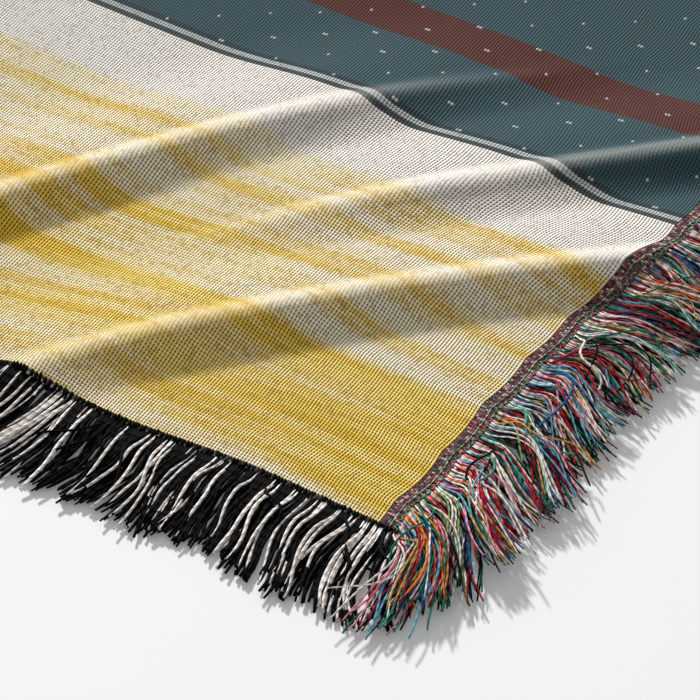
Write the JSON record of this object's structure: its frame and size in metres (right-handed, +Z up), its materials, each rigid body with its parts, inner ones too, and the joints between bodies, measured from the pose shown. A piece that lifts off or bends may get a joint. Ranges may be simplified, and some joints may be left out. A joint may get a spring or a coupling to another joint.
{
  "type": "throw blanket",
  "caption": "Flat woven throw blanket lying on the floor with soft diagonal ridges, fringed along all its edges in locks of loose yarn.",
  "frame": {"origin": "on the floor, under the middle of the throw", "axes": "+X along the warp, towards the short end beside the rippled corner; +Y along the weft, away from that corner; +Z up from the floor"},
  "size_m": [1.6244, 1.3765, 0.014],
  "materials": {
    "cloth": "matt jacquard-woven cotton",
    "warp_fringe": "matt twisted cotton yarn in many colours",
    "weft_fringe": "matt twisted cotton yarn in black and ecru"
  },
  "bodies": {
    "root": {"cloth": "cloth", "warp_fringe_right": "warp_fringe", "warp_fringe_left": "warp_fringe", "weft_fringe_front": "weft_fringe", "weft_fringe_back": "weft_fringe"}
  },
  "joints": []
}
